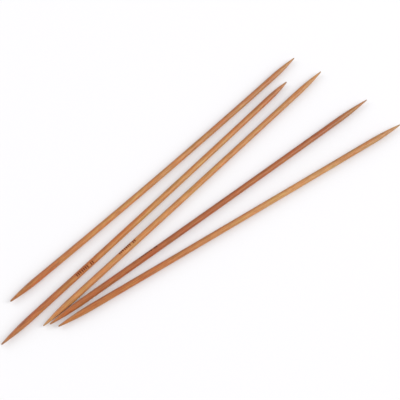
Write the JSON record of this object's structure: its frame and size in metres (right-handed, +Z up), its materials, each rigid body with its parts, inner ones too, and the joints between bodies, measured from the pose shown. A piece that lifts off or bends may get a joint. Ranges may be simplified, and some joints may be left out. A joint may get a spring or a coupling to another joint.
{
  "type": "double pointed needles",
  "caption": "Loose bamboo knitting needles with a tapered point at both ends, lying on a table in a fan; each one lifts away on its own.",
  "frame": {"origin": "under the middle of the fan's outline, on the table that the needles lie on", "axes": "+X along the fan, from the gathered points to the spread ones; +Y across the fan, from needle_5 to needle_1; +Z up"},
  "size_m": [0.2209, 0.0696, 0.003],
  "materials": {
    "bamboo_1": "satin lacquered carbonised bamboo with fine lengthwise fibres",
    "bamboo_2": "satin lacquered carbonised bamboo with fine lengthwise fibres",
    "bamboo_3": "satin lacquered carbonised bamboo with fine lengthwise fibres",
    "bamboo_4": "satin lacquered carbonised bamboo with fine lengthwise fibres",
    "bamboo_5": "satin lacquered carbonised bamboo with fine lengthwise fibres"
  },
  "bodies": {
    "needle_1": {"needle_1": "bamboo_1"},
    "needle_2": {"needle_2": "bamboo_2"},
    "needle_3": {"needle_3": "bamboo_3"},
    "needle_4": {"needle_4": "bamboo_4"},
    "needle_5": {"needle_5": "bamboo_5"}
  },
  "joints": [
    {"name": "needle_1_lift", "type": "slide", "parent": "needle_3", "child": "needle_1", "axis": [0, 0, 1], "range_m": [0, 0.05]},
    {"name": "needle_2_lift", "type": "slide", "parent": "needle_3", "child": "needle_2", "axis": [0, 0, 1], "range_m": [0, 0.05]},
    {"name": "needle_4_lift", "type": "slide", "parent": "needle_3", "child": "needle_4", "axis": [0, 0, 1], "range_m": [0, 0.05]},
    {"name": "needle_5_lift", "type": "slide", "parent": "needle_3", "child": "needle_5", "axis": [0, 0, 1], "range_m": [0, 0.05]}
  ]
}
